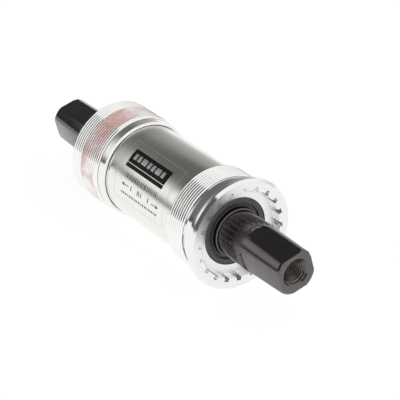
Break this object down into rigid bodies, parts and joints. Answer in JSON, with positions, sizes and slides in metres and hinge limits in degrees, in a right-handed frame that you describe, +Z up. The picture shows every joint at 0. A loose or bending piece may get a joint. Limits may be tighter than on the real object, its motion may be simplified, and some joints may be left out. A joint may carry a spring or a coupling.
{
  "type": "cartridge bottom bracket",
  "caption": "Sealed cartridge bottom bracket: square-taper spindle on two ball bearings in a steel body, flanged drive-side cup, removable left cup.",
  "frame": {"origin": "on the spindle's axis, halfway along the spindle and at the middle of the 68 mm frame shell", "axes": "+X along the spindle towards the drive side with the flanged cup; +Z up as the part lies; +Y away from the side that carries the label"},
  "size_m": [0.131, 0.0382, 0.0382],
  "materials": {
    "bright_alloy": "machined bright, satin",
    "polished_steel": "brushed round the tube, bright",
    "black_steel": "blackened, satin gloss",
    "bearing_steel": "ground and polished",
    "seal_rubber": "matte moulded",
    "cage_nylon": "natural nylon, moulded",
    "tube_plastic": "moulded"
  },
  "bodies": {
    "cartridge": {"cartridge_shell": "polished_steel", "distance_tube": "tube_plastic", "drive_cup": "bright_alloy", "drive_seal": "seal_rubber", "left_seal_cap": "seal_rubber", "drive_bearing_outer_ring": "bearing_steel", "drive_bearing_outboard_shield": "seal_rubber", "drive_bearing_inboard_shield": "seal_rubber", "left_bearing_outer_ring": "bearing_steel", "left_bearing_outboard_shield": "seal_rubber", "left_bearing_inboard_shield": "seal_rubber"},
    "spindle": {"spindle": "black_steel", "drive_bearing_inner_ring": "bearing_steel", "left_bearing_inner_ring": "bearing_steel"},
    "drive_cage": {"drive_bearing_cage": "cage_nylon", "drive_bearing_ball_01": "bearing_steel", "drive_bearing_ball_02": "bearing_steel", "drive_bearing_ball_03": "bearing_steel", "drive_bearing_ball_04": "bearing_steel", "drive_bearing_ball_05": "bearing_steel", "drive_bearing_ball_06": "bearing_steel", "drive_bearing_ball_07": "bearing_steel", "drive_bearing_ball_08": "bearing_steel", "drive_bearing_ball_09": "bearing_steel", "drive_bearing_ball_10": "bearing_steel", "drive_bearing_ball_11": "bearing_steel"},
    "left_cage": {"left_bearing_cage": "cage_nylon", "left_bearing_ball_01": "bearing_steel", "left_bearing_ball_02": "bearing_steel", "left_bearing_ball_03": "bearing_steel", "left_bearing_ball_04": "bearing_steel", "left_bearing_ball_05": "bearing_steel", "left_bearing_ball_06": "bearing_steel", "left_bearing_ball_07": "bearing_steel", "left_bearing_ball_08": "bearing_steel", "left_bearing_ball_09": "bearing_steel", "left_bearing_ball_10": "bearing_steel", "left_bearing_ball_11": "bearing_steel"},
    "left_cup": {"left_cup": "bright_alloy"}
  },
  "joints": [
    {"name": "spindle_spin", "type": "hinge", "parent": "cartridge", "child": "spindle", "pos_m": [0, 0, 0], "axis": [1, 0, 0], "continuous": true},
    {"name": "drive_cage_spin", "type": "hinge", "parent": "cartridge", "child": "drive_cage", "pos_m": [0.0277, 0, 0], "axis": [1, 0, 0], "continuous": true},
    {"name": "left_cage_spin", "type": "hinge", "parent": "cartridge", "child": "left_cage", "pos_m": [-0.0277, 0, 0], "axis": [1, 0, 0], "continuous": true},
    {"name": "left_cup_slide", "type": "slide", "parent": "cartridge", "child": "left_cup", "axis": [-1, 0, 0], "range_m": [0, 0.048]}
  ],
  "couplings": [
    {"joint": "drive_cage_spin", "follows": "spindle_spin", "ratio": 0.41555},
    {"joint": "left_cage_spin", "follows": "spindle_spin", "ratio": 0.41555}
  ]
}
